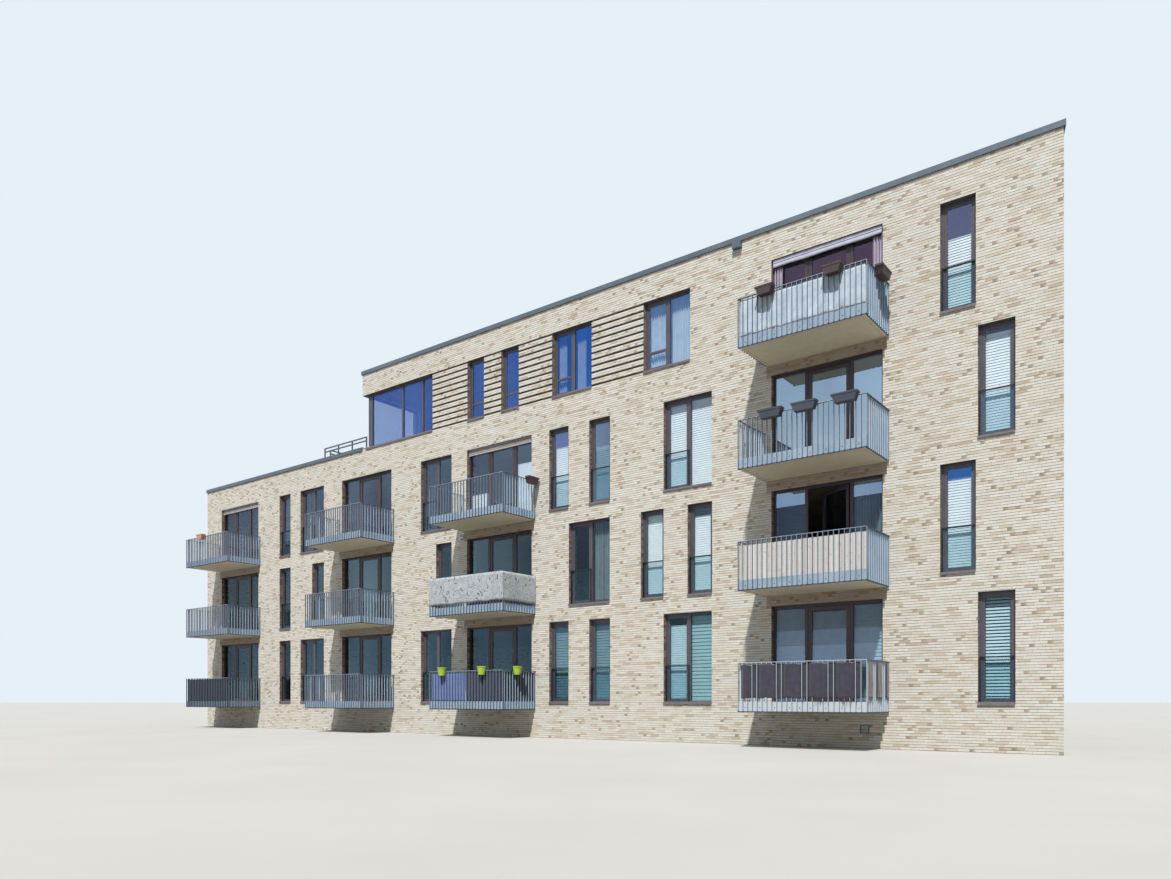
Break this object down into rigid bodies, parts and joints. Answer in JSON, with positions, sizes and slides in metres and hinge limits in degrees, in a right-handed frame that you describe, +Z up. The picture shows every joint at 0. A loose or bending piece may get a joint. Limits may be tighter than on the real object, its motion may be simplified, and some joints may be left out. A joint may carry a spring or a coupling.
{
  "type": "apartment block",
  "caption": "Brick apartment block with a set-back top storey, roof terrace, tall windows with guards and projecting steel balconies",
  "frame": {"origin": "on the ground under the middle of the part's bounding box", "axes": "+X runs along the street front to the right as seen from the street, +Y runs from the street into the building, +Z is up"},
  "size_m": [33.4221, 13.7202, 13.08],
  "materials": {
    "brick": "cream brick, laid in fine joints",
    "concrete": "smooth concrete",
    "zinc": "grey coated sheet",
    "frame": "dark satin coating",
    "glass": "clear",
    "guard_glass": "green-grey",
    "galvanised": "galvanised",
    "translucent": "translucent sheet",
    "pale": "pale grained sheet",
    "dark_cloth": "dark woven",
    "grey_cloth": "pale grey patterned",
    "blue_cloth": "blue woven",
    "lilac_cloth": "lilac",
    "blind": "striped",
    "planter": "dark",
    "sheer": "thin curtain",
    "pot": "lime green",
    "white_blind": "pale slats"
  },
  "bodies": {
    "block": {"base_slab": "concrete", "base_walls_long": "brick", "base_walls_end": "brick", "party_wall": "brick", "end_wall": "brick", "front_wall_1": "brick", "front_wall_2": "brick", "front_wall_3": "brick", "front_wall_4": "brick", "door_lintels": "brick", "rear_wall_lower": "brick", "rear_wall_upper": "brick", "side_wall_upper": "brick", "low_parapets": "brick", "floor_slabs": "concrete", "roof_slab": "concrete", "copings_long": "zinc", "copings_end": "zinc", "terrace_railing": "zinc", "grooved_band": "brick", "window_frames_front": "frame", "window_frames_rear": "frame", "glass_front": "glass", "glass_rear": "glass", "window_sills": "frame", "guard_rails": "frame", "guard_panes": "guard_glass", "door_side_frames": "frame", "door_heads": "frame", "fixed_door_leaves": "frame", "balcony_slabs": "concrete", "railing_fronts": "galvanised", "railing_sides": "galvanised", "translucent_screen": "translucent", "pale_screen": "pale", "dark_fabric": "dark_cloth", "grey_fabric": "grey_cloth", "blue_screens": "blue_cloth", "rolled_awning": "lilac_cloth", "drapes": "lilac_cloth", "raised_blinds": "blind", "lowered_blinds": "white_blind", "curtains": "sheer", "planter_boxes": "planter", "rail_pots": "pot", "overflow_box": "zinc", "vent": "zinc"},
    "door_left": {"door_leaf_left": "frame", "door_pane_left": "glass"},
    "door_middle": {"door_leaf_middle": "frame", "door_pane_middle": "glass"},
    "door_right": {"door_leaf_right": "frame", "door_pane_right": "glass", "leaf_blind": "white_blind"}
  },
  "joints": [
    {"name": "left_door_hinge", "type": "hinge", "parent": "block", "child": "door_left", "pos_m": [-13.54406, -4.97985, 2.26], "axis": [0, 0, -1], "range_deg": [0, 90]},
    {"name": "middle_door_hinge", "type": "hinge", "parent": "block", "child": "door_middle", "pos_m": [1.32594, -4.97985, 2.26], "axis": [0, 0, -1], "range_deg": [0, 90]},
    {"name": "right_door_hinge", "type": "hinge", "parent": "block", "child": "door_right", "pos_m": [12.10594, -4.97985, 2.26], "axis": [0, 0, -1], "range_deg": [0, 90]}
  ]
}
